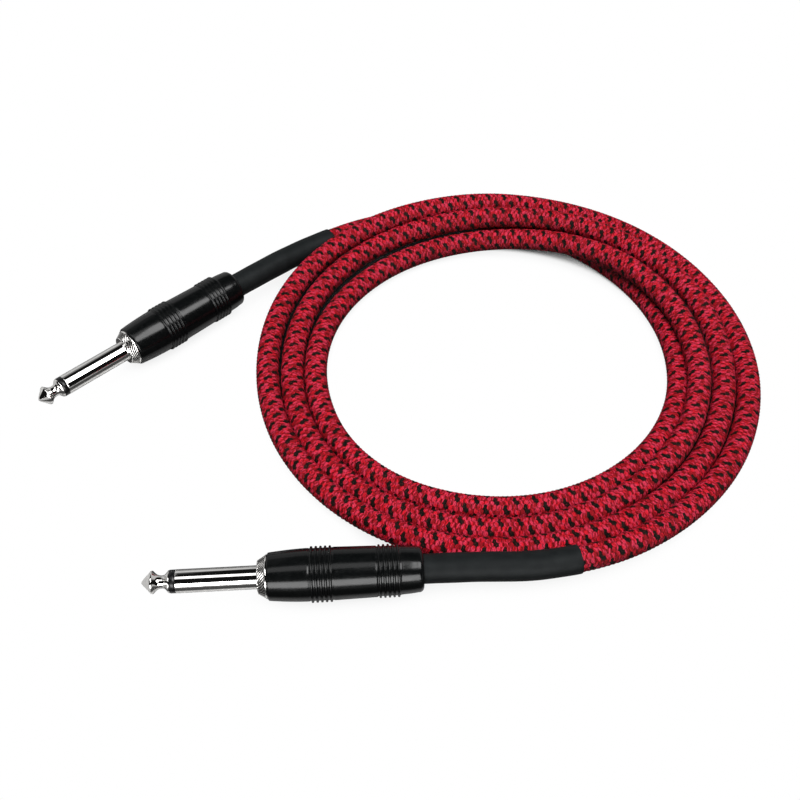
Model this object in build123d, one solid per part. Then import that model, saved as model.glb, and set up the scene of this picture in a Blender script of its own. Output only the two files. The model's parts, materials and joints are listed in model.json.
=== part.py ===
from build123d import *
import math
import os

# Instrument cable: a coiled, textile-covered single-core screened cable with a
# straight two-pole 6.35 mm plug on each end. Millimetres, +Z up, floor at Z = 0,
# the front plug's axis along +X. Origin: centre of the two plugs' footprint, on the floor.

# ---- driving dimensions ----
CABLE_D = 7.4            # over the textile braid
SHRINK_D = 8.1           # outside of the shrunk sleeve
SHRINK_VISIBLE = 42.4    # length of the sleeve behind the barrel
PLUG_L = 75.5            # plug tip to the barrel's rear face
LEAD_X = 70.4            # plug tip to where the free lead starts, inside the barrel
SHAFT_D = 6.35           # standard plug shaft
TIP_L = 7.6              # tip contact
RING_L = 1.6             # insulating ring behind the tip
SHOULDER = 31.0          # plug tip to the collar's front face
COLLAR_L = 2.6           # knurled collar
THREAD_L = 6.2           # length of the barrel thread behind the collar
THREAD_R = 5.35          # thread of the collar, as a plain cylinder
THREAD_CLEAR = 0.05      # radial running clearance of the thread
THREAD_PITCH = 0.8       # one turn of the barrel moves it this far
BARREL_CREST_R = 7.55    # front rib band
BORE_R = 4.35            # barrel's rear hole
ROD_R = 1.2              # centre rod of the tip contact
SPIGOT_R = 3.0           # sleeve contact where it is pressed into the collar
AXIS_Z = BARREL_CREST_R  # the plug rests on its front rib band

FRONT_TIP = (-39.805, -70.038, AXIS_Z)
FRONT_YAW = 0.0
REAR_TIP = (-78.405, -2.398, AXIS_Z)
REAR_YAW = 39.84

# Route of the cable's two free leads. The first point of each is inside its barrel.
FRONT_LEAD = [(30.595, -70.038, 7.55), (49.59, -70.038, 7.55), (67.8, -71.54, 8.1), (90.19, -67.64, 8.0)]
REAR_LEAD = [(-24.35, 42.7, 7.55), (-9.77, 54.87, 7.55), (2.8, 69.36, 5.95), (24.8, 82.06, 3.7)]
FRONT_LEAD_END = 0.92    # share of the last run before the lead joins the coil
REAR_LEAD_END = 0.86

# Plan outline of the coil of turns, and the heights of its upper side.
COIL_OUTER = [(149.9, 7.3), (148.2, 29.0), (141.4, 50.2), (129.0, 69.1), (111.2, 83.5), (89.9, 92.2),
              (67.2, 92.0), (46.1, 86.9), (29.2, 85.9), (20.0, 83.6), (23.3, 76.5), (7.9, 66.3), (-5.0, 49.0),
              (-11.4, 28.4), (-12.4, 7.3), (-8.9, -13.1), (-1.3, -32.2), (11.4, -48.5), (28.3, -60.1),
              (47.4, -66.4), (67.2, -67.7), (86.8, -63.3), (89.0, -71.7), (107.2, -62.0), (123.6, -49.1),
              (137.0, -33.0), (146.2, -13.9)]
COIL_INNER = [(120.0, 7.3), (118.9, 21.2), (114.9, 34.8), (107.0, 47.1), (95.2, 55.8), (81.7, 61.4),
              (67.2, 63.7), (52.3, 62.8), (38.7, 56.6), (27.1, 47.4), (18.0, 35.7), (12.4, 22.0), (10.4, 7.3),
              (12.0, -7.5), (17.7, -21.3), (27.3, -32.6), (39.7, -40.4), (53.3, -44.4), (67.2, -45.1),
              (80.5, -42.5), (92.9, -37.1), (103.4, -28.9), (111.4, -18.2), (117.0, -6.0)]
COIL_LOW_Z = 9.8         # over the turns that lie beside each other
COIL_HIGH_Z = 15.0       # over the crossing, where turns ride over the rear lead

os.makedirs("parts", exist_ok=True)
nodes = {}


def turned(points):
    """A body of revolution about the X axis from (x, r) points."""
    wire = Wire.make_polygon([Vector(x, 0, r) for x, r in points], close=True)
    return revolve(Face(wire), axis=Axis.X, revolution_arc=360)


def tube_x(x0, x1, r_out, r_in=0.0):
    body = Pos(x0, 0, 0) * (Rot(0, 90, 0) * Cylinder(r_out, x1 - x0, align=(Align.CENTER, Align.CENTER, Align.MIN)))
    if r_in > 0:
        body -= Pos(x0 - 1, 0, 0) * (Rot(0, 90, 0) * Cylinder(r_in, x1 - x0 + 2, align=(Align.CENTER, Align.CENTER, Align.MIN)))
    return body


def rod_between(p, q, r):
    p, q = Vector(*p), Vector(*q)
    plane = Plane(origin=p, z_dir=(q - p))
    return plane * Cylinder(r, (q - p).length, align=(Align.CENTER, Align.CENTER, Align.MIN))


def ribs(x0, n, pitch, valley, crest):
    """Outline points of a band of n rounded ribs that starts at x0."""
    pts = []
    for k in range(n):
        x = x0 + k * pitch
        pts += [(x + 0.10 * pitch, valley), (x + 0.28 * pitch, crest - 0.06), (x + 0.42 * pitch, crest),
                (x + 0.62 * pitch, crest), (x + 0.76 * pitch, crest - 0.06), (x + 0.94 * pitch, valley)]
    return pts


def barrel():
    b0 = SHOULDER + COLLAR_L + 0.1          # front edge of the barrel
    e = PLUG_L
    outer = [(b0, 6.25), (b0 + 0.3, 6.45), (b0 + 2.5, 6.66), (b0 + 5.0, 6.87), (b0 + 8.0, 7.06), (b0 + 11.0, 7.15)]
    outer += ribs(b0 + 11.2, 5, 1.26, 7.05, BARREL_CREST_R)
    outer += [(b0 + 17.7, 7.12), (b0 + 22.0, 7.02), (b0 + 26.0, 6.95), (b0 + 29.2, 6.88)]
    outer += ribs(b0 + 29.4, 5, 1.24, 6.72, 7.18)
    outer += [(b0 + 35.8, 6.52), (b0 + 38.5, 6.36), (e - 1.6, 6.17), (e - 0.95, 6.05), (e - 0.45, 5.78), (e - 0.12, 5.35), (e, 4.95)]
    inner = [(e, 4.65), (e - 0.3, BORE_R), (e - 6.4, BORE_R), (e - 6.4, THREAD_R + THREAD_CLEAR), (b0, THREAD_R + THREAD_CLEAR)]
    return turned(outer + inner)


def plug(prefix, tip, yaw):
    """All the pieces of one plug, tip at the local origin, cable towards local +X."""
    place = Pos(*tip) * Rot(0, 0, yaw)
    r = SHAFT_D / 2
    c0, c1 = SHOULDER, SHOULDER + COLLAR_L
    t1 = c1 + THREAD_L
    p = {}

    p["tip_contact"] = turned([
        (0.0, 0.0), (0.0, 0.30), (0.12, 0.52), (0.45, 0.95), (1.0, 1.52), (1.6, 2.12), (2.1, 2.62), (2.45, 2.95), (2.7, 3.08), (2.95, 3.10),
        (3.2, 2.98), (3.55, 2.62), (4.0, 2.18), (4.5, 1.88), (5.0, 1.76), (5.6, 1.74), (6.1, 1.86), (6.5, 2.12), (6.85, 2.52),
        (7.15, 2.88), (7.4, 3.04), (TIP_L, 3.06), (TIP_L, ROD_R), (t1 + 2.5, ROD_R), (t1 + 2.5, 2.1), (t1 + 3.0, 2.0), (t1 + 3.3, 1.5), (t1 + 3.4, 0.0)])
    p["tip_insulator_ring"] = turned([
        (TIP_L, ROD_R), (TIP_L, r - 0.15), (TIP_L + 0.12, r - 0.03), (TIP_L + RING_L - 0.12, r - 0.03), (TIP_L + RING_L, r - 0.15), (TIP_L + RING_L, ROD_R)])
    s0 = TIP_L + RING_L
    p["shaft_insulator"] = tube_x(s0, t1 + 0.7, 1.9, ROD_R)
    # the sleeve steps down to a spigot that is pressed into the collar
    p["sleeve_contact"] = turned([(s0, 1.9), (s0, r - 0.12), (s0 + 0.12, r), (c0, r), (c0 + 0.3, SPIGOT_R), (c0 + 3.4, SPIGOT_R), (c0 + 3.4, 1.9)])
    p["threaded_collar"] = turned([
        (c0, r), (c0, 4.45), (c0 + 0.15, 4.6), (c0 + 0.9, 5.02), (c0 + 1.7, 5.45), (c0 + 2.3, 5.78), (c0 + 2.36, 5.92),
        (c1 - 0.06, 5.95), (c1, 5.88), (c1, 4.95), (c1 + 0.5, 4.95), (c1 + 0.9, THREAD_R), (t1 - 0.4, THREAD_R), (t1, 5.0),
        (t1, 1.9), (c0 + 3.4, 1.9), (c0 + 3.4, SPIGOT_R), (c0 + 0.3, SPIGOT_R)])
    # ground tongue: a ring against the collar body, a strip along the floor side, jaws crimped round the cable
    ring = tube_x(t1, t1 + 0.7, 4.6, 1.9)
    strip = Pos(t1, 0, -4.05) * Box(17.6, 4.0, 0.7, align=(Align.MIN, Align.CENTER, Align.CENTER))
    jaws = tube_x(t1 + 15.6, t1 + 20.6, 4.45, CABLE_D / 2)
    jaws -= Pos(t1 + 18.1, 0, 4.2) * Box(8, 2.4, 2.4)
    strip_cut = tube_x(t1 + 0.7, t1 + 30, CABLE_D / 2)
    p["ground_tongue"] = ring + (strip & tube_x(t1, t1 + 20, 4.8)) - strip_cut + jaws
    p["insulating_washer"] = tube_x(t1 + 0.7, t1 + 1.9, 3.65, ROD_R)
    lug = tube_x(t1 + 1.9, t1 + 2.5, 2.95, ROD_R)
    tab = Pos(t1 + 1.9, 0, 2.95) * Box(7.3, 3.0, 0.6, align=(Align.MIN, Align.CENTER, Align.CENTER))
    tab -= Pos(t1 + 7.7, 0, 2.95) * Cylinder(0.7, 3)
    p["tip_solder_lug"] = lug + tab
    # cable end inside the plug
    cable_face = t1 + 14.0
    p["centre_core_insulation"] = tube_x(t1 + 10.6, cable_face, 1.6)
    core = rod_between((t1 + 10.6, 0, 0.4), (t1 + 7.0, 0, 1.9), 0.45)
    core = core - tube_x(t1 + 10.6, cable_face, 1.6)
    p["centre_conductor"] = core
    blob = (Pos(t1 + 7.0, 0, 1.75) * Sphere(1.15)) & (Pos(t1 + 7.0, 0, 1.4) * Box(4, 4, 2.5))
    p["tip_solder_joint"] = blob - core - p["tip_solder_lug"]
    drain = rod_between((cable_face, 0, -2.5), (t1 + 9.0, 0, -3.1), 0.55)
    drain = drain - p["ground_tongue"] - tube_x(cable_face, PLUG_L, CABLE_D / 2)
    p["screen_pigtail"] = drain
    p["ground_solder_joint"] = ((Pos(t1 + 9.0, 0, -3.15) * Sphere(1.2)) & (Pos(t1 + 9.0, 0, -2.7) * Box(4, 4, 2.0))) - drain - p["ground_tongue"]
    p["cable_end"] = tube_x(cable_face, LEAD_X, CABLE_D / 2)
    # parts that move when the plug is opened
    p["barrel_liner"] = tube_x(t1 + 0.35, PLUG_L - 6.8, 5.2, 4.9)
    p["barrel"] = barrel()
    for name, body in p.items():
        nodes[f"{prefix}_{name}"] = place * body


def swept(points, radii, r_out, r_in=0.0):
    pts = [Vector(*q) for q in points]
    path = FilletPolyline(*pts, radius=radii)
    plane = Plane(origin=pts[0], z_dir=(pts[1] - pts[0]))
    section = plane * Circle(r_out)
    if r_in > 0:
        section = section - plane * Circle(r_in)
    body = sweep(section, path=path)
    area = math.pi * (r_out * r_out - r_in * r_in)
    length = path.length
    print(f"  path {length:.2f} mm, volume / (section x length) = {body.volume / (area * length):.4f}")
    return body


def lead(prefix, points, share):
    a, b, c, d = [Vector(*q) for q in points]
    end = c + (d - c) * share
    path = [a, b, c, end]
    radii = []
    for i in (1, 2):
        u, v = path[i] - path[i - 1], path[i + 1] - path[i]
        half = math.radians(u.get_angle(v)) / 2
        radii.append(0.45 * min(u.length, v.length) / math.tan(half))
    print(prefix, "bend radii", [round(x, 1) for x in radii], "turns", [round(path[i].__sub__(path[i - 1]).get_angle(path[i + 1] - path[i]), 1) for i in (1, 2)])
    # where the shrunk sleeve ends, a little beyond the second bend
    arcs = 0.0
    for i in (1, 2):
        u, v = path[i] - path[i - 1], path[i + 1] - path[i]
        half = math.radians(u.get_angle(v)) / 2
        arcs += 2 * radii[i - 1] * (math.tan(half) - half)
    rest = PLUG_L - LEAD_X + SHRINK_VISIBLE + arcs - (b - a).length - (c - b).length
    sleeve_end = c + (d - c).normalized() * rest
    print("  sleeve's last run", round(rest, 2), "bend takes", round(radii[1] * math.tan(math.radians((c - b).get_angle(end - c)) / 2), 2))
    nodes[f"{prefix}_shrink_sleeve"] = swept([a, b, c, sleeve_end], radii, SHRINK_D / 2, CABLE_D / 2)
    nodes[f"{prefix}_lead"] = swept(path, radii, CABLE_D / 2)
    return a, b, c, sleeve_end


plug("front", FRONT_TIP, FRONT_YAW)
plug("rear", REAR_TIP, REAR_YAW)
fa = lead("front", FRONT_LEAD, FRONT_LEAD_END)
ra = lead("rear", REAR_LEAD, REAR_LEAD_END)

# coil: the turns' outer shape as one closed ring, higher where turns cross
outline = Face(Wire.make_polygon([Vector(x, y, 0) for x, y in COIL_OUTER], close=True),
               [Wire.make_polygon([Vector(x, y, 0) for x, y in COIL_INNER], close=True)])
if outline.normal_at().Z < 0:
    outline = -outline
ring = Solid.extrude(outline, Vector(0, 0, COIL_HIGH_Z))
low, high = COIL_LOW_Z, COIL_HIGH_Z
side = Face(Wire.make_polygon([Vector(-30, y, z) for y, z in
                               [(-90, -1), (110, -1), (110, high + 1), (46, high + 1), (40, high), (14, low), (-90, low)]], close=True))
ring = ring & extrude(side, amount=200, dir=(1, 0, 0))
front = Face(Wire.make_polygon([Vector(x, -95, z) for x, z in
                                [(-30, -1), (165, -1), (165, high + 1), (43, high + 1), (39, high), (19, low), (-30, low)]], close=True))
ring = ring & extrude(front, amount=210, dir=(0, 1, 0))
# room for the front plug's barrel over its travel, and for both sleeves
ring = ring - Pos(-30, FRONT_TIP[1], AXIS_Z) * (Rot(0, 90, 0) * Cylinder(6.85, 71.5, align=(Align.CENTER, Align.CENTER, Align.MIN)))
for a, b, c, e in (fa, ra):
    for p0, p1 in ((a, b), (b, c), (c, e)):
        d = (p1 - p0).normalized()
        ring = ring - rod_between(tuple(p0 - d * 0.6), tuple(p1 + d * 0.6), SHRINK_D / 2 + 0.5)
nodes["coiled_cable"] = ring

box = None
for name, body in nodes.items():
    solids = body.solids() if hasattr(body, "solids") else [body]
    shape = solids[0] if len(solids) == 1 else Compound(children=list(solids))
    if len(solids) != 1:
        print("WARNING", name, "has", len(solids), "solids")
    export_step(shape, f"parts/{name}.step")
    if name not in ("coiled_cable", "front_lead", "rear_lead"):
        bb = shape.bounding_box()
        box = bb if box is None else box.add(bb)
print("own pieces box", [round(v, 3) for v in (box.min.X, box.max.X, box.min.Y, box.max.Y, box.min.Z, box.max.Z)])
print("centre", round((box.min.X + box.max.X) / 2, 4), round((box.min.Y + box.max.Y) / 2, 4), "nodes", len(nodes))
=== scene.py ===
import json
import math

import bpy
import numpy as np
from mathutils import Matrix, Vector


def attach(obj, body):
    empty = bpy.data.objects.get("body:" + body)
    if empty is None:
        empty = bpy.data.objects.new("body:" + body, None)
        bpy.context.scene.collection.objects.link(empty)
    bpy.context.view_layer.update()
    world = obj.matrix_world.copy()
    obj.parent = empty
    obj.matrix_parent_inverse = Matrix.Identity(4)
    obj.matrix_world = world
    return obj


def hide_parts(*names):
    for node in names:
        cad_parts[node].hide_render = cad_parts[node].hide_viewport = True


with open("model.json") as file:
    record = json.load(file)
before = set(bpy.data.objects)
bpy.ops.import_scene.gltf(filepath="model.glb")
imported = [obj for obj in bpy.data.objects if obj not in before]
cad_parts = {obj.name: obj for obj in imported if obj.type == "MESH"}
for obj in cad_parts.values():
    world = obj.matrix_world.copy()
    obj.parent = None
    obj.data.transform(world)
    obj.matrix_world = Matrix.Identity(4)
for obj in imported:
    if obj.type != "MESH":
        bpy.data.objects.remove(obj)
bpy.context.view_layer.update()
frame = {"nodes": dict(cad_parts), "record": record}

MM = 0.001

# ------------------------------------------------------------------ sizes (mm)
CABLE_R = 3.72          # over the crests of the braid
WEAVE_DEPTH = 0.32      # crest to valley
PICK = 1.40             # spacing of the braid's strands along the cable
CARRIERS = 16           # strands each way
RED_DEEP = (0.22, 0.0055, 0.0095)
RED_BRIGHT = (0.54, 0.0085, 0.020)
RED_PINK = (0.52, 0.032, 0.072)
SLEEVE_R = 4.05
SLEEVE_L = 47.5         # from 5 mm inside the barrel
AXIS_Z = 7.55
PLUGS = {"front": ((-39.805, -70.038, AXIS_Z), 0.0), "rear": ((-78.405, -2.398, AXIS_Z), 39.84)}
ROOT = "cable_and_plugs"

# The cable's route from the rear barrel to the front one, in mm.
ROUTE = [
    (-24.35, 42.7, 7.55), (-9.81, 54.83, 7.28), (3.12, 66.54, 5.25), (24.56, 80.19, 3.7), (49.85, 84.58, 3.75),
    (74.49, 81.36, 3.7), (96.0, 69.4, 3.7), (112.4, 52.2, 3.7), (122.2, 31.8, 3.7), (125.0, 10.0, 3.7),
    (120.8, -11.2, 3.7), (109.3, -29.4, 3.7), (91.9, -42.9, 3.7), (70.6, -49.6, 3.7), (48.0, -48.1, 3.7),
    (27.6, -38.9, 3.7), (13.3, -22.6, 3.7), (6.5, -1.3, 3.7), (7.3, 21.1, 3.7), (16.2, 41.6, 3.7), (31.8, 57.7, 3.7),
    (52.0, 67.5, 3.8), (74.5, 68.8, 5.6), (96.5, 61.3, 9.0), (114.7, 45.9, 11.4), (126.3, 24.8, 11.0),
    (129.2, 1.1, 9.4), (122.8, -21.4, 7.9), (108.3, -39.9, 6.7), (88.4, -52.5, 5.1), (66.1, -57.3, 3.7),
    (43.3, -54.4, 3.7), (23.3, -44.8, 3.7), (8.6, -29.0, 3.8), (0.3, -8.5, 3.7), (-1.2, 14.3, 3.7), (3.3, 36.6, 3.7),
    (13.91, 55.19, 4.06), (30.27, 67.95, 5.97), (51.44, 73.92, 9.11), (75.4, 74.26, 11.57), (99.3, 68.74, 11.6),
    (119.6, 57.2, 9.3), (133.5, 40.2, 7.1), (139.3, 19.3, 5.3), (137.7, -3.1, 3.9), (129.3, -24.5, 3.6),
    (115.3, -43.1, 4.7), (97.0, -56.6, 5.9), (75.3, -63.6, 5.5), (52.5, -63.9, 4.4), (30.6, -57.5, 4.6),
    (12.2, -44.8, 5.5), (-0.9, -26.6, 5.5), (-7.9, -4.7, 4.5), (-9.0, 18.7, 3.8), (-4.43, 40.14, 4.41),
    (6.0, 57.95, 6.0), (22.19, 71.34, 8.49), (43.4, 79.72, 10.5), (67.48, 82.2, 11.68), (91.49, 80.12, 9.69),
    (112.88, 73.75, 6.44), (129.3, 61.3, 4.3), (140.2, 43.7, 3.7), (146.0, 22.9, 3.7), (146.1, 1.1, 3.7),
    (140.0, -20.3, 3.7), (128.1, -39.9, 4.7), (111.0, -56.3, 6.6), (90.19, -67.64, 8.0), (67.8, -71.54, 8.1),
    (49.59, -70.038, 7.55), (30.595, -70.038, 7.55),
]


# ------------------------------------------------------------------ node helpers
class Nodes:
    """A short way to write a material's nodes."""

    def __init__(self, name):
        self.mat = bpy.data.materials.new(name)
        self.mat.use_nodes = True
        self.t = self.mat.node_tree
        self.bsdf = next(n for n in self.t.nodes if n.type == "BSDF_PRINCIPLED")

    def put(self, socket, value):
        if isinstance(value, bpy.types.NodeSocket):
            self.t.links.new(value, socket)
        elif value is not None:
            socket.default_value = value

    def new(self, kind, **inputs):
        n = self.t.nodes.new(kind)
        for k, v in inputs.items():
            self.put(n.inputs[k], v)
        return n

    def math(self, op, a, b=None, c=None, clamp=False):
        n = self.t.nodes.new("ShaderNodeMath")
        n.operation = op
        n.use_clamp = clamp
        for s, v in zip(n.inputs, (a, b, c)):
            self.put(s, v)
        return n.outputs[0]

    def ramp(self, x, lo, hi, a=0.0, b=1.0):
        n = self.t.nodes.new("ShaderNodeMapRange")
        n.interpolation_type = "SMOOTHSTEP"
        for s, v in zip(n.inputs, (x, lo, hi, a, b)):
            self.put(s, v)
        return n.outputs[0]

    def mix(self, f, a, b, mode="MIX"):
        n = self.t.nodes.new("ShaderNodeMix")
        n.data_type = "RGBA"
        n.blend_type = mode
        self.put(n.inputs[0], f)
        for s, v in ((n.inputs[6], a), (n.inputs[7], b)):
            self.put(s, (*v, 1.0) if isinstance(v, tuple) and len(v) == 3 else v)
        return n.outputs[2]

    def noise(self, vector, scale, detail=3.0, rough=0.5, dims="3D"):
        n = self.t.nodes.new("ShaderNodeTexNoise")
        n.noise_dimensions = dims
        if dims == "1D":
            self.put(n.inputs["W"], vector)
        else:
            self.put(n.inputs["Vector"], vector)
        n.inputs["Scale"].default_value = scale
        n.inputs["Detail"].default_value = detail
        n.inputs["Roughness"].default_value = rough
        return n.outputs["Fac"] if "Fac" in n.outputs else n.outputs[0]

    def coords(self, which="Object"):
        return self.t.nodes.new("ShaderNodeTexCoord").outputs[which]

    def scaled(self, v, s):
        n = self.t.nodes.new("ShaderNodeMapping")
        self.put(n.inputs["Vector"], v)
        n.inputs["Scale"].default_value = s
        return n.outputs[0]

    def split(self, v):
        n = self.t.nodes.new("ShaderNodeSeparateXYZ")
        self.put(n.inputs[0], v)
        return n.outputs

    def attribute(self, name):
        n = self.t.nodes.new("ShaderNodeAttribute")
        n.attribute_name = name
        return n.outputs["Vector"]

    def bump(self, height, distance, strength=1.0, normal=None):
        n = self.t.nodes.new("ShaderNodeBump")
        n.inputs["Strength"].default_value = strength
        n.inputs["Distance"].default_value = distance
        self.put(n.inputs["Height"], height)
        if normal is not None:
            self.put(n.inputs["Normal"], normal)
        return n.outputs[0]

    def set(self, **values):
        for k, v in values.items():
            self.put(self.bsdf.inputs[k.replace("_", " ")], v)
        return self.mat


# ------------------------------------------------------------------ materials
def textile():
    """Braided textile: 16 strands each way, over two and under two. Every fourth strand each way is dark."""
    m = Nodes("textile_cable")
    s = m.split(m.attribute("weave"))
    p = m.math("DIVIDE", s[0], PICK)
    q = m.math("MULTIPLY", s[1], float(CARRIERS))
    a = m.math("ADD", p, q)
    b = m.math("SUBTRACT", p, q)
    half = math.pi / 2
    obj = m.coords()
    # the strands wander a little
    wob = m.math("MULTIPLY_ADD", m.noise(obj, 640.0, 4.0, 0.6), 0.5, -0.25)
    wob2 = m.math("MULTIPLY_ADD", m.noise(m.scaled(obj, (760.0, 720.0, 680.0)), 1.0, 4.0, 0.6), 0.5, -0.25)
    d = m.math("SUBTRACT", b, a)
    wa = m.math("MULTIPLY", m.math("SINE", m.math("MULTIPLY", m.math("ADD", d, 0.5), half)), 0.25)
    wb = m.math("MULTIPLY", m.math("SINE", m.math("MULTIPLY", m.math("SUBTRACT", 1.5, d), half)), 0.25)
    a2 = m.math("ADD", m.math("ADD", a, wa), wob)
    b2 = m.math("ADD", m.math("ADD", b, wb), wob2)
    i, j = m.math("FLOOR", a2), m.math("FLOOR", b2)
    fa = m.math("SUBTRACT", m.math("SUBTRACT", a2, i), 0.5)
    fb = m.math("SUBTRACT", m.math("SUBTRACT", b2, j), 0.5)
    es = m.math("COSINE", m.math("MULTIPLY", m.math("SUBTRACT", b, i), half))
    ez = m.math("COSINE", m.math("MULTIPLY", m.math("ADD", m.math("SUBTRACT", a, j), 1.0), half))
    ca = m.math("COSINE", m.math("MULTIPLY", fa, math.pi))
    cb = m.math("COSINE", m.math("MULTIPLY", fb, math.pi))
    hs = m.math("ADD", m.math("MULTIPLY", es, 0.6), m.math("MULTIPLY", ca, 0.55))
    hz = m.math("ADD", m.math("MULTIPLY", ez, 0.6), m.math("MULTIPLY", cb, 0.55))
    top = m.ramp(m.math("SUBTRACT", hs, hz), -0.04, 0.04)          # 1 where the S strand is on top
    h = m.math("MAXIMUM", hs, hz)

    def pick(x, y):
        """x on the S strands, y on the Z strands."""
        n = m.t.nodes.new("ShaderNodeMix")
        n.data_type = "FLOAT"
        m.put(n.inputs[0], top)
        m.put(n.inputs[2], y)
        m.put(n.inputs[3], x)
        return n.outputs[0]

    across = pick(fa, fb)                       # -0.5 to 0.5 over the strand's width
    number = pick(i, m.math("ADD", j, 37.0))
    along = pick(b, a)
    # three twisted ends side by side in each strand
    e3 = m.math("MULTIPLY", m.math("ADD", across, 0.5), 3.0)
    end = m.math("FLOOR", e3)
    fe = m.math("SUBTRACT", m.math("SUBTRACT", e3, end), 0.5)
    ridge = m.math("COSINE", m.math("MULTIPLY", fe, math.pi))
    twist = m.math("SINE", m.math("ADD", m.math("MULTIPLY", along, 13.0), m.math("MULTIPLY", fe, 4.0)))
    wn = m.t.nodes.new("ShaderNodeTexWhiteNoise")
    wn.noise_dimensions = "3D"
    m.put(wn.inputs["Vector"], m.new("ShaderNodeCombineXYZ", X=number, Y=end, Z=m.math("FLOOR", m.math("MULTIPLY", m.math("ADD", a, b), 0.25))).outputs[0])
    rnd = wn.outputs["Value"]
    # dark strands: every fourth one, two of its three ends in the Z strands
    dark_s = m.math("LESS_THAN", m.math("FLOORED_MODULO", i, 4.0), 0.5)
    dark_z = m.math("MULTIPLY", m.math("COMPARE", m.math("FLOORED_MODULO", j, 4.0), 1.0, 0.5), m.math("LESS_THAN", end, 1.5))
    dark = pick(dark_s, dark_z)
    fib = m.noise(obj, 3200.0, 4.0, 0.65)
    blot = m.noise(obj, 700.0, 2.0, 0.5)
    red = m.mix(m.ramp(rnd, 0.25, 0.75), RED_DEEP, RED_BRIGHT)
    red = m.mix(m.ramp(m.math("ADD", blot, m.math("MULTIPLY", rnd, 0.35)), 0.62, 0.86, 0.0, 0.85), red, RED_PINK)
    ink = m.mix(m.ramp(m.math("ADD", fib, m.math("MULTIPLY", rnd, 0.3)), 0.40, 0.80), (0.0008, 0.0022, 0.0013), (0.0045, 0.0070, 0.0048))
    col = m.mix(m.math("MULTIPLY", dark, m.ramp(fib, 0.72, 0.50, 0.80, 1.0)), red, ink)
    # painted shade: darker in the braid's valleys and at the edges of each end, lighter and darker along the twist;
    # the fibre noise adds random tone
    shade = m.ramp(h, 0.15, 1.0, 0.10, 1.0)
    shade = m.math("MULTIPLY", shade, m.math("MULTIPLY_ADD", ridge, 0.55, 0.52))
    shade = m.math("MULTIPLY", shade, m.math("MULTIPLY_ADD", twist, 0.12, 1.0))
    shade = m.math("MULTIPLY", shade, m.math("MULTIPLY_ADD", fib, 1.1, 0.55))
    col = m.mix(1.0, col, m.new("ShaderNodeCombineColor", Red=shade, Green=shade, Blue=shade).outputs[0], "MULTIPLY")
    height = m.math("ADD", h, m.math("ADD", m.math("MULTIPLY", ridge, 0.30), m.math("MULTIPLY", twist, 0.05)))
    height = m.math("ADD", height, m.math("MULTIPLY", fib, 0.25))
    normal = m.bump(height, 0.00024, 0.9)
    return m.set(Base_Color=col, Roughness=m.math("MULTIPLY_ADD", fib, 0.2, 0.60), Normal=normal,
                 Specular_IOR_Level=0.06)


def nickel(name, knurled=False):
    m = Nodes(name)
    obj = m.coords()
    s = m.split(obj)
    turned = m.noise(m.math("MULTIPLY", s[0], 1.0), 9000.0, 4.0, 0.6, "1D")
    blot = m.noise(obj, 600.0, 4.0, 0.55)
    scr = m.noise(m.scaled(obj, (900.0, 9000.0, 9000.0)), 1.0, 2.0, 0.5)
    col = m.mix(m.ramp(blot, 0.35, 0.75), (0.80, 0.79, 0.77), (0.70, 0.69, 0.675))
    rough = m.math("ADD", m.ramp(blot, 0.3, 0.8, 0.045, 0.10), m.ramp(turned, 0.55, 0.8, 0.0, 0.04))
    height = m.math("ADD", m.math("MULTIPLY", turned, 0.35), m.math("MULTIPLY", scr, 0.15))
    if knurled:
        # painted shade: the knurled band is darkened and its grooves painted near black, standing for the shade in the
        # knurl's teeth
        around = m.math("DIVIDE", m.math("ARCTAN2", s[2], s[1]), 2 * math.pi)
        z = m.math("FRACT", m.math("ADD", m.math("MULTIPLY", around, 36.0), m.math("MULTIPLY_ADD", s[0], 1420.0, 100.0 - 31.0 * 1.42)))
        groove_shade = m.ramp(m.math("ABSOLUTE", m.math("MULTIPLY_ADD", z, 2.0, -1.0)), 0.30, 0.80)
        band = m.math("MULTIPLY", m.ramp(s[0], 0.03118, 0.03130), m.ramp(s[0], 0.03302, 0.03314, 1.0, 0.0))
        col = m.mix(m.math("MULTIPLY", band, 0.9), col, (0.47, 0.46, 0.445))
        col = m.mix(m.math("MULTIPLY", groove_shade, m.math("MULTIPLY", band, 0.96)), col, (0.020, 0.019, 0.018))
        rough = m.math("ADD", rough, m.math("MULTIPLY_ADD", band, 0.14, 0.03))
    return m.set(Base_Color=col, Metallic=1.0, Roughness=rough,
                 Normal=m.bump(height, 0.000003, 0.3))


def barrel_black():
    m = Nodes("black_barrel")
    obj = m.coords()
    s = m.split(obj)
    grain = m.noise(obj, 5200.0, 3.0, 0.6)
    peel = m.noise(obj, 900.0, 3.0, 0.5)
    turned = m.noise(s[0], 5200.0, 3.0, 0.6, "1D")
    rub = m.noise(m.scaled(obj, (250.0, 900.0, 900.0)), 1.0, 4.0, 0.6)
    geo = m.t.nodes.new("ShaderNodeNewGeometry")
    edge = m.ramp(geo.outputs["Pointiness"], 0.53, 0.60)
    col = m.mix(m.ramp(peel, 0.3, 0.8), (0.0022, 0.0026, 0.0027), (0.0040, 0.0045, 0.0046))
    col = m.mix(m.math("MULTIPLY", edge, 0.2), col, (0.020, 0.021, 0.022))
    rough = m.math("ADD", m.ramp(rub, 0.35, 0.8, 0.14, 0.20), m.math("MULTIPLY", grain, 0.04))
    height = m.math("ADD", m.math("MULTIPLY", grain, 0.5), m.math("ADD", m.math("MULTIPLY", turned, 0.35), m.math("MULTIPLY", peel, 0.6)))
    return m.set(Base_Color=col, Roughness=rough, Normal=m.bump(height, 0.000009, 0.6), Specular_IOR_Level=0.19)


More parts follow.
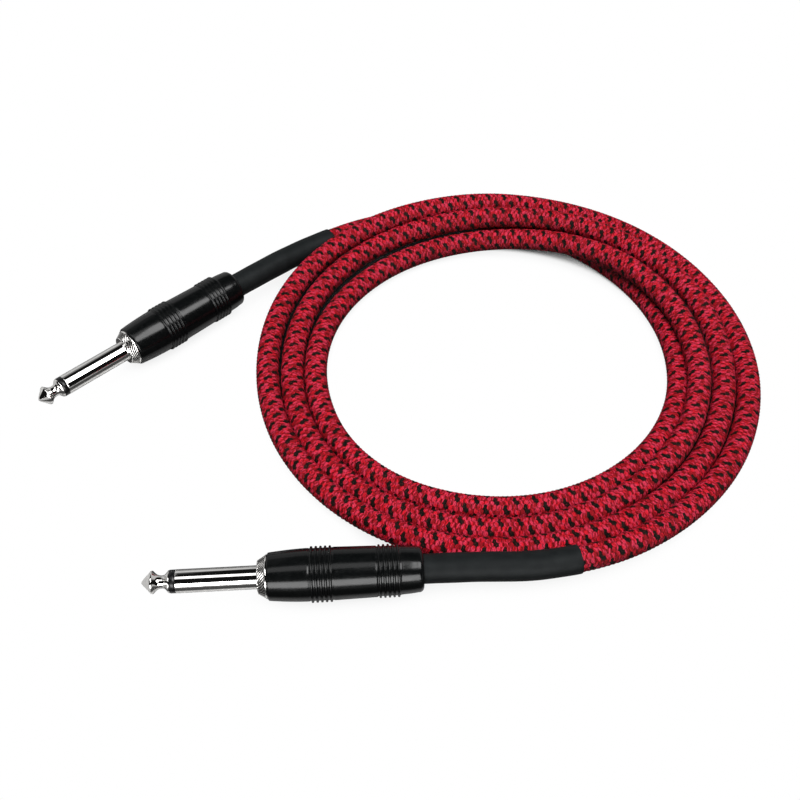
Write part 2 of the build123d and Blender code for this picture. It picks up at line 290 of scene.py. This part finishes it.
def shrink():
    m = Nodes("shrink_black")
    s = m.split(m.attribute("weave"))
    obj = m.coords()
    grain = m.noise(obj, 6000.0, 4.0, 0.65)
    soft = m.noise(obj, 260.0, 3.0, 0.5)
    # the braid shows faintly through the thin tube
    p = m.math("DIVIDE", s[0], PICK)
    q = m.math("MULTIPLY", s[1], float(CARRIERS))
    wa = m.math("SINE", m.math("MULTIPLY", m.math("ADD", p, q), math.pi))
    wb = m.math("SINE", m.math("MULTIPLY", m.math("SUBTRACT", p, q), math.pi))
    through = m.math("MULTIPLY", m.math("ABSOLUTE", wa), m.math("ABSOLUTE", wb))
    col = m.mix(m.ramp(soft, 0.3, 0.75), (0.0060, 0.0072, 0.0076), (0.0092, 0.0108, 0.0112))
    height = m.math("ADD", m.math("MULTIPLY", grain, 0.25), m.math("ADD", m.math("MULTIPLY", through, 0.35), m.math("MULTIPLY", soft, 0.8)))
    return m.set(Base_Color=col, Roughness=m.math("MULTIPLY_ADD", grain, 0.14, 0.50), Normal=m.bump(height, 0.00003, 0.5),
                 Specular_IOR_Level=0.07)


def plastic(name, dark, light, rough=0.4, grain_scale=3000.0, metal=0.0, depth=0.00001, spec=0.5):
    m = Nodes(name)
    obj = m.coords()
    g = m.noise(obj, grain_scale, 4.0, 0.6)
    v = m.noise(obj, 500.0, 3.0, 0.5)
    return m.set(Base_Color=m.mix(m.ramp(v, 0.3, 0.75), dark, light), Metallic=metal,
                 Roughness=m.math("MULTIPLY_ADD", g, 0.15, rough), Normal=m.bump(g, depth, 0.5), Specular_IOR_Level=spec)


def clear_plastic():
    m = Nodes("clear_liner")
    obj = m.coords()
    v = m.noise(obj, 800.0, 3.0, 0.5)
    return m.set(Base_Color=m.mix(v, (0.80, 0.83, 0.83), (0.72, 0.76, 0.77)), Roughness=m.math("MULTIPLY_ADD", v, 0.1, 0.12),
                 Transmission_Weight=0.8, IOR=1.5, Normal=m.bump(v, 0.00001, 0.3))


MATS = {
    "textile_cable": textile(),
    "nickel_contact": nickel("nickel_contact"),
    "nickel_collar": nickel("nickel_collar", True),
    "black_barrel": barrel_black(),
    "shrink_black": shrink(),
    "black_insulator": plastic("black_insulator", (0.0030, 0.0030, 0.0033), (0.0055, 0.0055, 0.0060), 0.22, spec=0.25),
    "clear_liner": clear_plastic(),
    "fibre_washer": plastic("fibre_washer", (0.17, 0.075, 0.035), (0.26, 0.13, 0.065), 0.6, 2500.0, depth=0.00003),
    "core_insulation": plastic("core_insulation", (0.78, 0.76, 0.70), (0.86, 0.85, 0.80), 0.35),
    "copper": plastic("copper", (0.62, 0.30, 0.17), (0.78, 0.43, 0.28), 0.22, 4000.0, 1.0, 0.00002),
    "solder": plastic("solder", (0.50, 0.51, 0.53), (0.66, 0.67, 0.68), 0.28, 2200.0, 1.0, 0.00002),
}


# ------------------------------------------------------------------ mesh helpers
def mesh_object(name, verts, faces, mat, smooth=True):
    me = bpy.data.meshes.new(name)
    me.from_pydata([tuple(v) for v in verts], [], [tuple(f) for f in faces])
    me.validate()
    me.materials.append(mat)
    me.polygons.foreach_set("use_smooth", [smooth] * len(me.polygons))
    ob = bpy.data.objects.new(name, me)
    bpy.context.scene.collection.objects.link(ob)
    return ob


def grid_mesh(name, grid, mat, close_ends=False, closed_profile=False):
    """A mesh from a (rings, around, 3) grid in metres that closes around. Its caps are fans."""
    R, A, _ = grid.shape
    me = bpy.data.meshes.new(name)
    verts = grid.reshape(-1, 3)
    r = np.arange(R if closed_profile else R - 1)[:, None]
    k = np.arange(A)[None]
    r1, k1 = (r + 1) % R, (k + 1) % A
    quads = np.stack([r * A + k, r * A + k1, r1 * A + k1, r1 * A + k], -1).reshape(-1, 4)
    extra, tris = [], []
    if close_ends:
        for ring, flip in ((0, True), (R - 1, False)):
            c = len(verts) + len(extra)
            extra.append(grid[ring].mean(0))
            for x in range(A):
                y = (x + 1) % A
                tris.append((c, ring * A + y, ring * A + x) if flip else (c, ring * A + x, ring * A + y))
    if extra:
        verts = np.vstack([verts, np.array(extra)])
    nq, nt = len(quads), len(tris)
    me.vertices.add(len(verts))
    me.vertices.foreach_set("co", np.ascontiguousarray(verts, np.float32).ravel())
    loops = np.concatenate([quads.ravel(), np.array(tris, int).ravel()]) if nt else quads.ravel()
    me.loops.add(len(loops))
    me.loops.foreach_set("vertex_index", loops.astype(np.int32))
    me.polygons.add(nq + nt)
    starts = np.concatenate([np.arange(nq) * 4, nq * 4 + np.arange(nt) * 3]).astype(np.int32)
    me.polygons.foreach_set("loop_start", starts)
    me.update(calc_edges=True)
    me.validate()
    me.polygons.foreach_set("use_smooth", [True] * len(me.polygons))
    me.materials.append(mat)
    ob = bpy.data.objects.new(name, me)
    bpy.context.scene.collection.objects.link(ob)
    return ob, nq, nt


def lathe(name, profile, mat, around=128, wobble=None, closed=True):
    """A turned piece about local X from (x, r) points in mm. wobble(x, r, turn) adds to the radius."""
    prof = np.array(profile, float)
    th = np.linspace(0, 2 * np.pi, around, endpoint=False)
    x = prof[:, 0][:, None] * np.ones_like(th)[None]
    r = prof[:, 1][:, None] * np.ones_like(th)[None]
    if wobble is not None:
        r = r + wobble(x, r, th[None] / (2 * np.pi))
    g = np.stack([x, r * np.cos(th)[None], r * np.sin(th)[None]], -1) * MM
    ob, _, _ = grid_mesh(name, g, mat, close_ends=not closed, closed_profile=closed)
    return ob


def rounded(points, cuts):
    """The (x, r) outline with the listed corners rounded: cuts maps an index to a radius in mm."""
    pts = [np.array(p, float) for p in points]
    out = []
    for k, p in enumerate(pts):
        c = cuts.get(k, 0)
        if not c or k in (0, len(pts) - 1):
            out.append(p)
            continue
        u, v = pts[k - 1] - p, pts[k + 1] - p
        lu, lv = np.linalg.norm(u), np.linalg.norm(v)
        c = min(c, 0.45 * lu, 0.45 * lv)
        u, v = u / lu * c, v / lv * c
        for t in np.linspace(0, 1, 6):
            out.append((p + u) * (1 - t) ** 2 + 2 * t * (1 - t) * p + (p + v) * t * t)
    return out


def smooth_profile(points, step=0.12, closed=False):
    """Catmull-Rom through (x, r) points. A point given twice stays a corner."""
    pts = [np.array(p, float) for p in points]
    out = [pts[0]]
    for k in range(len(pts) - 1):
        p1, p2 = pts[k], pts[k + 1]
        if np.allclose(p1, p2):
            continue
        p0 = pts[k - 1] if k > 0 and not np.allclose(pts[k - 1], p1) else p1
        p3 = pts[k + 2] if k + 2 < len(pts) and not np.allclose(pts[k + 2], p2) else p2
        n = max(2, int(math.ceil(np.linalg.norm(p2 - p1) / step)))
        for t in np.linspace(0, 1, n + 1)[1:]:
            out.append(0.5 * ((2 * p1) + (p2 - p0) * t + (2 * p0 - 5 * p1 + 4 * p2 - p3) * t * t + (3 * p1 - p0 - 3 * p2 + p3) * t ** 3))
    return out


def place(ob, plug, body, *nodes, slot):
    tip, yaw = PLUGS[plug]
    ob.matrix_world = Matrix.Translation(Vector(tip) * MM) @ Matrix.Rotation(math.radians(yaw), 4, "Z")
    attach(ob, body)
    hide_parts(*nodes)
    return ob


# ------------------------------------------------------------------ the cable's line
def cable_line():
    cu = bpy.data.curves.new("line", "CURVE")
    cu.dimensions = "3D"
    sp = cu.splines.new("NURBS")
    sp.points.add(len(ROUTE) - 1)
    for pt, co in zip(sp.points, ROUTE):
        pt.co = (co[0] * MM, co[1] * MM, co[2] * MM, 1.0)
    sp.order_u = 3
    sp.use_endpoint_u = True
    sp.resolution_u = 48
    ob = bpy.data.objects.new("line", cu)
    bpy.context.scene.collection.objects.link(ob)
    bpy.context.view_layer.update()
    me = bpy.data.meshes.new_from_object(ob.evaluated_get(bpy.context.evaluated_depsgraph_get()))
    co = np.zeros(len(me.vertices) * 3)
    me.vertices.foreach_get("co", co)
    bpy.data.objects.remove(ob)
    bpy.data.curves.remove(cu)
    bpy.data.meshes.remove(me)
    co = co.reshape(-1, 3)
    keep = np.r_[True, np.linalg.norm(np.diff(co, axis=0), axis=1) > 1e-9]
    return co[keep]


LINE = cable_line()
ARC = np.r_[0, np.cumsum(np.linalg.norm(np.diff(LINE, axis=0), axis=1))] / MM      # mm
CABLE_LENGTH = float(ARC[-1])


def frames(arcs):
    """Centre and tangent at each arc (mm). ring_frames adds the two cross directions, which don't twist."""
    c = np.stack([np.interp(arcs, ARC, LINE[:, k]) for k in range(3)], 1)
    d = 1.2
    f = np.stack([np.interp(np.clip(arcs + d, 0, CABLE_LENGTH), ARC, LINE[:, k]) for k in range(3)], 1)
    g = np.stack([np.interp(np.clip(arcs - d, 0, CABLE_LENGTH), ARC, LINE[:, k]) for k in range(3)], 1)
    t = f - g
    t /= np.linalg.norm(t, axis=1)[:, None]
    return c, t


DENSE = np.arange(0, CABLE_LENGTH, 0.45)
if CABLE_LENGTH - DENSE[-1] > 0.05:
    DENSE = np.r_[DENSE, CABLE_LENGTH]
_c, _t = frames(DENSE)
_e = np.zeros_like(_t)
up = np.array([0, 0, 1.0])
_e[0] = up - up @ _t[0] * _t[0]
_e[0] /= np.linalg.norm(_e[0])
for k in range(1, len(_t)):
    v = _e[k - 1] - (_e[k - 1] @ _t[k]) * _t[k]
    _e[k] = v / np.linalg.norm(v)


def ring_frames(arcs):
    c, t = frames(arcs)
    e = np.stack([np.interp(arcs, DENSE, _e[:, k]) for k in range(3)], 1)
    e -= (e * t).sum(1)[:, None] * t
    e /= np.linalg.norm(e, axis=1)[:, None]
    return c, t, e, np.cross(e, t)


def weave_height(u, turn):
    """Height of the braid, about 0 to 1, at arc u (mm) and turn (0 to 1)."""
    p, q = u / PICK, CARRIERS * turn
    a, b = p + q, p - q
    half = np.pi / 2
    a2 = a + 0.25 * np.sin(half * (b - a + 0.5))
    b2 = b + 0.25 * np.sin(half * (a - b + 1.5))
    i, j = np.floor(a2), np.floor(b2)
    hs = 0.6 * np.cos(half * (b - i)) + 0.55 * np.cos(np.pi * (a2 - i - 0.5))
    hz = 0.6 * np.cos(half * (a - j + 1.0)) + 0.55 * np.cos(np.pi * (b2 - j - 0.5))
    return np.clip((np.maximum(hs, hz) - 0.25) / 0.9, 0, 1)


def with_weave(ob, arcs, around, nq, nt):
    """Stores where each corner lies along and round the cable."""
    me = ob.data
    at = me.attributes.new("weave", "FLOAT_VECTOR", "CORNER")
    R = len(arcs)
    r = np.arange(R - 1)[:, None] * np.ones(around, int)[None]
    k = np.ones(R - 1, int)[:, None] * np.arange(around)[None]
    u = np.stack([arcs[r], arcs[r], arcs[r + 1], arcs[r + 1]], -1)
    v = np.stack([k, k + 1, k + 1, k], -1) / around
    val = np.zeros((len(me.loops), 3), np.float32)
    val[: nq * 4, 0] = u.reshape(-1)[: nq * 4]
    val[: nq * 4, 1] = v.reshape(-1)[: nq * 4]
    at.data.foreach_set("vector", val.ravel())


# ------------------------------------------------------------------ cable
AROUND = 64
c, t, e1, e2 = ring_frames(DENSE)
turn = np.arange(AROUND) / AROUND
h = weave_height(DENSE[:, None], turn[None])
rng = np.random.default_rng(7)
rad = CABLE_R - WEAVE_DEPTH + WEAVE_DEPTH * h + rng.normal(0, 0.008, h.shape)
covered = (DENSE < SLEEVE_L) | (DENSE > CABLE_LENGTH - SLEEVE_L)
rad[covered] = np.minimum(rad[covered], 3.66)
ang = 2 * np.pi * turn
grid = c[:, None] + (rad * MM)[..., None] * (np.cos(ang)[None, :, None] * e1[:, None] + np.sin(ang)[None, :, None] * e2[:, None])
cable, nq, nt = grid_mesh("textile_cable", grid, MATS["textile_cable"], close_ends=True)
with_weave(cable, DENSE, AROUND, nq, nt)
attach(cable, ROOT)
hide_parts("coiled_cable", "front_lead", "rear_lead")


# ------------------------------------------------------------------ heat-shrink sleeves
def sleeve(name, start, end, lip_at_end):
    """A thin tube over the cable from arc start to end, in mm, with a rounded lip."""
    n = int((end - start) / 0.5)
    arcs = np.linspace(start, end, n + 1)
    A = 72
    c, t, e1, e2 = ring_frames(arcs)
    turn = np.arange(A) / A
    ang = 2 * np.pi * turn
    s = (arcs - start) if lip_at_end else (end - arcs)         # 0 at the barrel, largest at the lip
    L = end - start
    base = SLEEVE_R + 0.02 * np.sin(s * 0.55 + 0.6) + 0.016 * np.sin(s * 0.23 + 2.1)
    base = base - 0.05 * np.clip((s - (L - 5.0)) / 5.0, 0, 1) ** 2
    rad = base[:, None] + 0.018 * np.sin(ang[None] * 2 + s[:, None] * 0.31) + 0.012 * np.sin(ang[None] * 3 - s[:, None] * 0.17)
    rad += 0.018 * weave_height(arcs[:, None], turn[None])
    outer = c[:, None] + (rad * MM)[..., None] * (np.cos(ang)[None, :, None] * e1[:, None] + np.sin(ang)[None, :, None] * e2[:, None])
    # lip: a small quarter-round, then back along the inside
    k = -1 if lip_at_end else 0
    sign = 1.0 if lip_at_end else -1.0
    rings, extra_arc = [], []
    r0 = rad[k]
    wall = 0.30
    for f in np.linspace(0.15, 1, 6):
        w = f * math.pi
        rr = r0 - wall / 2 * (1 - math.cos(w))
        off = sign * wall / 2 * math.sin(w)
        rings.append(c[k][None] + off * MM * t[k][None] + (rr * MM)[:, None] * (np.cos(ang)[:, None] * e1[k][None] + np.sin(ang)[:, None] * e2[k][None]))
        extra_arc.append(arcs[k] + off)
    for back in (2.0, 6.0):
        kk = np.argmin(abs(arcs - (arcs[k] - sign * back)))
        rings.append(c[kk][None] + (3.72 * MM) * (np.cos(ang)[:, None] * e1[kk][None] + np.sin(ang)[:, None] * e2[kk][None]))
        extra_arc.append(arcs[kk])
    if lip_at_end:
        grid = np.concatenate([outer, np.array(rings)], 0)
        aa = np.r_[arcs, extra_arc]
    else:
        grid = np.concatenate([np.array(rings[::-1]), outer], 0)
        aa = np.r_[extra_arc[::-1], arcs]
    ob, nq, nt = grid_mesh(name, grid, MATS["shrink_black"])
    with_weave(ob, aa, A, nq, nt)
    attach(ob, ROOT)
    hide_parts(f"{name.split('_')[0]}_shrink_sleeve")
    return ob


rear_sleeve = sleeve("rear_heat_shrink", 0.0, SLEEVE_L, True)
front_sleeve = sleeve("front_heat_shrink", CABLE_LENGTH - SLEEVE_L, CABLE_LENGTH, False)


# ------------------------------------------------------------------ plugs
def rib_band(x0, n, pitch, valley, crest, w=0.56):
    """A band of n rounded ribs: (x, r) points."""
    pts = []
    for k in range(n):
        x = x0 + k * pitch
        for f in np.linspace(0, 1, 14, endpoint=False):
            z = (f - 0.5) / w
            top = max(0.0, 1 - abs(2 * z) ** 4) ** 0.5 if abs(z) < 0.5 else 0.0
            pts.append((x + f * pitch, valley + (crest - valley) * top))
    return pts


def barrel_profile():
    b0, e = 33.7, 75.5
    outer = [(b0 + 0.02, 6.18), (b0 + 0.12, 6.32), (b0 + 0.3, 6.42)]
    outer += smooth_profile([(b0 + 0.55, 6.47), (b0 + 2.5, 6.66), (b0 + 5.0, 6.87), (b0 + 8.0, 7.05), (b0 + 10.6, 7.13)], 0.7)
    outer += [(b0 + 10.9, 7.12), (b0 + 11.1, 7.06)]
    outer += rib_band(b0 + 11.2, 5, 1.26, 7.03, 7.55)
    outer += [(b0 + 17.6, 7.04), (b0 + 17.75, 7.10)]
    outer += smooth_profile([(b0 + 18.0, 7.12), (b0 + 22.0, 7.03), (b0 + 26.0, 6.95), (b0 + 29.0, 6.88)], 0.8)
    outer += [(b0 + 29.25, 6.84), (b0 + 29.35, 6.74)]
    outer += rib_band(b0 + 29.4, 5, 1.24, 6.68, 7.18)
    outer += [(b0 + 35.68, 6.54), (b0 + 35.85, 6.545)]
    outer += smooth_profile([(b0 + 36.2, 6.51), (b0 + 38.5, 6.37), (e - 1.75, 6.19)], 0.6)
    for a in np.linspace(0, 90, 9)[1:]:
        outer.append((e - 1.35 + 1.35 * math.sin(math.radians(a)), 4.83 + 1.35 * math.cos(math.radians(a))))
    outer += [(e - 0.02, 4.66), (e - 0.12, 4.50), (e - 0.35, 4.38)]
    inner = [(e - 0.6, 4.35), (e - 6.2, 4.35), (e - 6.4, 4.42), (e - 6.4, 5.35), (e - 6.6, 5.4), (b0 + 0.5, 5.4), (b0 + 0.25, 5.43), (b0 + 0.02, 5.62)]
    return outer + inner


TIP = ([(0.0, 0.001), (0.0, 0.18), (0.06, 0.34), (0.22, 0.56), (0.55, 0.95)] +
       smooth_profile([(0.95, 1.36), (1.5, 1.93), (2.05, 2.50), (2.38, 2.84), (2.62, 3.03), (2.86, 3.10), (3.06, 3.06), (3.24, 2.90)], 0.07) +
       smooth_profile([(3.3, 2.84), (3.55, 2.58), (3.85, 2.29), (4.15, 2.07), (4.45, 1.91), (4.8, 1.80), (5.2, 1.745), (5.6, 1.735), (6.0, 1.82),
                       (6.35, 2.02), (6.65, 2.32), (6.9, 2.64), (7.1, 2.87)], 0.09) +
       [(7.22, 2.98), (7.36, 3.055), (7.5, 3.07), (7.57, 3.04), (7.6, 2.97), (7.6, 1.2), (43.0, 1.2)])
RING = rounded([(7.6, 1.2), (7.6, 3.0), (7.72, 3.145), (9.08, 3.145), (9.2, 3.0), (9.2, 1.2)], {})
SLEEVE = ([(9.2, 1.9), (9.2, 3.03), (9.24, 3.11), (9.33, 3.165), (9.45, 3.175)] +
          [(x, 3.175) for x in np.linspace(10, 30.9, 22)] + [(31.0, 3.175), (31.3, 3.0), (34.4, 3.0), (34.4, 1.9)])


def knurl(x, r, turn):
    """Slanted knurl on the collar's cone: 36 sharp teeth, about 0.9 mm apart."""
    inside = np.clip((x - 31.20) / 0.10, 0, 1) * np.clip((33.12 - x) / 0.10, 0, 1) * (r > 4.3)
    z = (turn * 36 + (x - 31.0) * 1.42) % 1.0
    return -0.24 * inside * np.abs(2 * z - 1) ** 1.15


def thread(x, r, turn):
    """Right-hand thread behind the collar, 0.8 mm pitch."""
    inside = np.clip((x - 34.15) / 0.3, 0, 1) * np.clip((39.75 - x) / 0.3, 0, 1) * (r > 5.0)
    f = ((x - 34.0) / 0.8 - turn) % 1.0
    return -0.42 * inside * np.abs(2 * f - 1) ** 1.0


def collar_profile():
    pts = [(31.0, 3.18), (31.0, 4.36), (31.03, 4.45), (31.10, 4.56)]
    pts += [(x, 4.56 + (x - 31.10) * (5.80 - 4.56) / (33.16 - 31.10)) for x in np.linspace(31.16, 33.16, 27)]
    pts += [(33.20, 5.84), (33.24, 5.90), (33.30, 5.935), (33.36, 5.945), (33.50, 5.945), (33.56, 5.93), (33.60, 5.88), (33.60, 5.0)]
    pts += [(33.9, 4.95), (34.1, 4.97), (34.2, 5.2), (34.3, 5.34)]
    pts += [(x, 5.345) for x in np.arange(34.35, 39.5, 0.08)]
    pts += [(39.55, 5.25), (39.8, 5.0), (39.8, 1.9), (34.4, 1.9), (34.4, 3.0), (31.35, 3.0), (31.0, 3.1)]
    return pts


for plug in PLUGS:
    place(lathe(f"{plug}_tip", TIP, MATS["nickel_contact"], 96), plug, ROOT, f"{plug}_tip_contact", slot="nickel_contact")
    place(lathe(f"{plug}_ring", RING, MATS["black_insulator"], 96), plug, ROOT, f"{plug}_tip_insulator_ring", slot="black_insulator")
    place(lathe(f"{plug}_shaft", SLEEVE, MATS["nickel_contact"], 128), plug, ROOT, f"{plug}_sleeve_contact", slot="nickel_contact")
    place(lathe(f"{plug}_collar", collar_profile(), MATS["nickel_collar"], 576, lambda x, r, t: knurl(x, r, t) + thread(x, r, t)),
          plug, ROOT, f"{plug}_threaded_collar", slot="nickel_collar")
    place(lathe(f"{plug}_shell", barrel_profile(), MATS["black_barrel"], 160), plug, f"{plug}_barrel", f"{plug}_barrel", slot="black_barrel")

# inner pieces keep their CAD shapes
SLOT_OF = {p["node"]: p["material_slot"] for p in frame["record"]["subparts"]}
for name, ob in frame["nodes"].items():
    mat = MATS[SLOT_OF[name]]
    if name.endswith("cable_end"):
        mat = MATS["core_insulation"]
    ob.data.materials.clear()
    ob.data.materials.append(mat)


# ------------------------------------------------------------------ stage, light, camera
def floor():
    """White paper. What it throws back on the object is dimmer than what the camera sees, as in a cut-out picture:
    the gaps between the turns are dark, and the open floor has only a faint contact shadow."""
    m = Nodes("floor_paper")
    lp = m.t.nodes.new("ShaderNodeLightPath")
    obj = m.coords()
    v = m.noise(obj, 900.0, 3.0, 0.6)
    grain = m.math("MULTIPLY_ADD", v, 0.02, 0.99)
    # painted reflection: in the nickel's reflections the paper is pale just under the plug, then dark, then mid grey,
    # by the ray's length, and pale again past the tips
    ray = lp.outputs["Ray Length"]
    mirrored = m.math("ADD", m.ramp(ray, 0.0080, 0.0110, 0.46, 0.05), m.ramp(ray, 0.028, 0.060, 0.0, 0.30))
    q = m.split(obj)
    past_tips = m.ramp(m.math("SUBTRACT", q[0], m.ramp(q[1], -0.050, -0.040, -0.046, -0.088)), 0.0, 0.006, 1.0, 0.0)
    mirrored = m.math("ADD", mirrored, m.math("MULTIPLY", past_tips, m.math("SUBTRACT", 0.44, mirrored)))
    level = m.math("ADD", m.math("MULTIPLY", lp.outputs["Is Glossy Ray"], m.math("SUBTRACT", mirrored, 0.11)), 0.11)
    level = m.math("MULTIPLY", level, grain)
    m.set(Base_Color=m.new("ShaderNodeCombineColor", Red=level, Green=level, Blue=level).outputs[0], Roughness=0.9,
          Specular_IOR_Level=0.0)

    def openness(samples, distance, normal=None):
        ao = m.t.nodes.new("ShaderNodeAmbientOcclusion")
        ao.samples = samples
        ao.inputs["Distance"].default_value = distance
        if normal is not None:
            m.put(ao.inputs["Normal"], m.new("ShaderNodeCombineXYZ", X=normal[0], Y=normal[1], Z=0.15).outputs[0])
        return ao.outputs["AO"]

    up = openness(12, 0.014)
    # open towards at least one side, as the floor beside the coil is and the floor between two turns isn't
    side = None
    for x, y in ((1, 0), (0.5, 0.866), (-0.5, 0.866), (-1, 0), (-0.5, -0.866), (0.5, -0.866)):
        o = openness(12, 0.014, (x, y))
        side = o if side is None else m.math("MAXIMUM", side, o)
    free = m.ramp(side, 0.80, 0.92)
    # only between the coil's inner and outer turns

    def radius(cx, cy):
        dx, dy = m.math("SUBTRACT", q[0], cx), m.math("SUBTRACT", q[1], cy)
        return m.math("SQRT", m.math("ADD", m.math("MULTIPLY", dx, dx), m.math("MULTIPLY", dy, dy)))

    coil = m.math("MULTIPLY", m.ramp(radius(0.0652, 0.0093), 0.0588, 0.0618), m.ramp(radius(0.0688, 0.0122), 0.0768, 0.0800, 1.0, 0.0))
    free = m.math("SUBTRACT", 1.0, m.math("MULTIPLY", coil, m.math("SUBTRACT", 1.0, free)))
    # painted shadow: to the camera the paper glows, darkened by ambient occlusion into a faint contact shadow beside
    # the coil and dark shade in the gaps between its turns
    deep = m.ramp(up, 0.30, 0.85, 0.004, 0.85)
    edge = m.ramp(up, 0.05, 0.55, 0.80, 1.0)
    shade = m.math("ADD", m.math("MULTIPLY", free, edge), m.math("MULTIPLY", m.math("SUBTRACT", 1.0, free), deep))
    near = m.new("ShaderNodeEmission", Strength=1.0)
    m.put(near.inputs["Color"], m.new("ShaderNodeCombineColor", Red=shade, Green=shade, Blue=shade).outputs[0])
    far = m.new("ShaderNodeEmission", Strength=1.0)
    far.inputs["Color"].default_value = (1.0, 1.0, 1.0, 1.0)
    paper = m.t.nodes.new("ShaderNodeMixShader")
    m.put(paper.inputs[0], m.ramp(up, 0.86, 0.96))
    m.put(paper.inputs[1], near.outputs[0])
    m.put(paper.inputs[2], far.outputs[0])
    mix = m.t.nodes.new("ShaderNodeMixShader")
    m.put(mix.inputs[0], lp.outputs["Is Camera Ray"])
    m.put(mix.inputs[1], m.bsdf.outputs[0])
    m.put(mix.inputs[2], paper.outputs[0])
    out = next(n for n in m.t.nodes if n.type == "OUTPUT_MATERIAL")
    m.put(out.inputs["Surface"], mix.outputs[0])
    s = 4.0
    ob = mesh_object("floor", [(-s, -s, 0), (s, -s, 0), (s, s, 0), (-s, s, 0)], [(0, 1, 2, 3)], m.mat, False)
    ob.location.z = -0.00005


floor()

world = bpy.data.worlds.new("studio")
world.use_nodes = True
bpy.context.scene.world = world
world.cycles_visibility.diffuse = False       # the area lights do that
wt = world.node_tree
for n in list(wt.nodes):
    wt.nodes.remove(n)


class WorldNodes(Nodes):
    def __init__(self, tree):
        self.t = tree


w = WorldNodes(wt)
d = w.split(w.coords("Generated"))
X, Y, Z = d[0], d[1], d[2]


def panel(u, u0, u1, v, v0, v1, soft, level, gate=None):
    a = w.math("MULTIPLY", w.ramp(u, u0 - soft, u0 + soft), w.ramp(u, u1 - soft, u1 + soft, 1.0, 0.0))
    b = w.math("MULTIPLY", w.ramp(v, v0 - soft, v0 + soft), w.ramp(v, v1 - soft, v1 + soft, 1.0, 0.0))
    f = w.math("MULTIPLY", w.math("MULTIPLY", a, b), level)
    return f if gate is None else w.math("MULTIPLY", f, gate)


zc = w.math("MAXIMUM", Z, 0.05)
xz, yz = w.math("DIVIDE", X, zc), w.math("DIVIDE", Y, zc)
upward = w.ramp(Z, 0.2, 0.3)
front = w.math("GREATER_THAN", w.math("MULTIPLY", Y, -1.0), 0.1)
yf = w.math("MAXIMUM", w.math("MULTIPLY", Y, -1.0), 0.05)
xy, zy = w.math("DIVIDE", X, yf), w.math("DIVIDE", Z, yf)
parts = [
    panel(xz, 0.22, 0.98, yz, -0.52, 0.07, 0.04, 16.0, upward),       # main overhead softbox, to the right
    panel(xz, -0.75, 0.22, yz, -0.22, 0.16, 0.04, 3.0, upward),       # its dimmer half
    panel(xy, -0.75, 0.40, zy, 0.02, 0.56, 0.04, 16.0, front),         # low front softbox
    panel(xz, -2.2, -0.26, yz, 0.45, 2.2, 0.06, 0.32, upward),        # grey card, high behind on the left
    w.math("MULTIPLY", w.math("MULTIPLY", w.ramp(Y, 0.1, 0.4), w.ramp(Z, 0.45, 0.58, 1.0, 0.0)), 0.75),   # pale wall behind
    w.math("MULTIPLY", w.math("MULTIPLY", w.ramp(X, -0.75, -0.9), w.ramp(Z, 0.08, 0.18, 1.0, 0.0)), 0.75),  # pale card on the left
]
total = 0.008
for pnl in parts:
    total = w.math("ADD", total, pnl)
lp = wt.nodes.new("ShaderNodeLightPath")
bg = wt.nodes.new("ShaderNodeBackground")
out = wt.nodes.new("ShaderNodeOutputWorld")
n = wt.nodes.new("ShaderNodeMix")
n.data_type = "FLOAT"
wt.links.new(lp.outputs["Is Camera Ray"], n.inputs[0])
w.put(n.inputs[2], total)
n.inputs[3].default_value = 1.25
wt.links.new(n.outputs[0], bg.inputs["Strength"])
wt.links.new(bg.outputs[0], out.inputs["Surface"])


def area(name, at, look, size, power, glossy=False):
    li = bpy.data.lights.new(name, "AREA")
    li.shape = "RECTANGLE"
    li.size, li.size_y = size
    li.energy = power
    ob = bpy.data.objects.new(name, li)
    ob.location = at
    ob.rotation_euler = (Vector(look) - Vector(at)).to_track_quat("-Z", "Y").to_euler()
    ob.visible_glossy = glossy
    bpy.context.scene.collection.objects.link(ob)
    return ob


area("key", (0.0, -0.22, 1.2), (0.03, 0.0, 0.0), (0.8, 0.8), 25.0)
area("fill", (0.1, -1.3, 0.7), (0.03, 0.0, 0.0), (2.0, 1.0), 1.5)

cam = bpy.data.cameras.new("camera")
cam.lens = 46.845
cam.sensor_width = 36.0
cam.clip_start = 0.01
cam.dof.use_dof = False
co = bpy.data.objects.new("camera", cam)
co.location = (0.020515, -0.221600, 0.248408)
Rv, Uv, Wv = Vector((0.99828, -0.05864, 0)), Vector((0.04392, 0.74767, 0.66262)), Vector((0.03886, 0.66148, -0.74896))
rot = Matrix((Rv, Uv, -Wv)).transposed()
co.rotation_euler = rot.to_euler()
bpy.context.scene.collection.objects.link(co)
bpy.context.scene.camera = co
bpy.context.scene.view_settings.view_transform = "Standard"
bpy.context.scene.view_settings.look = "None"
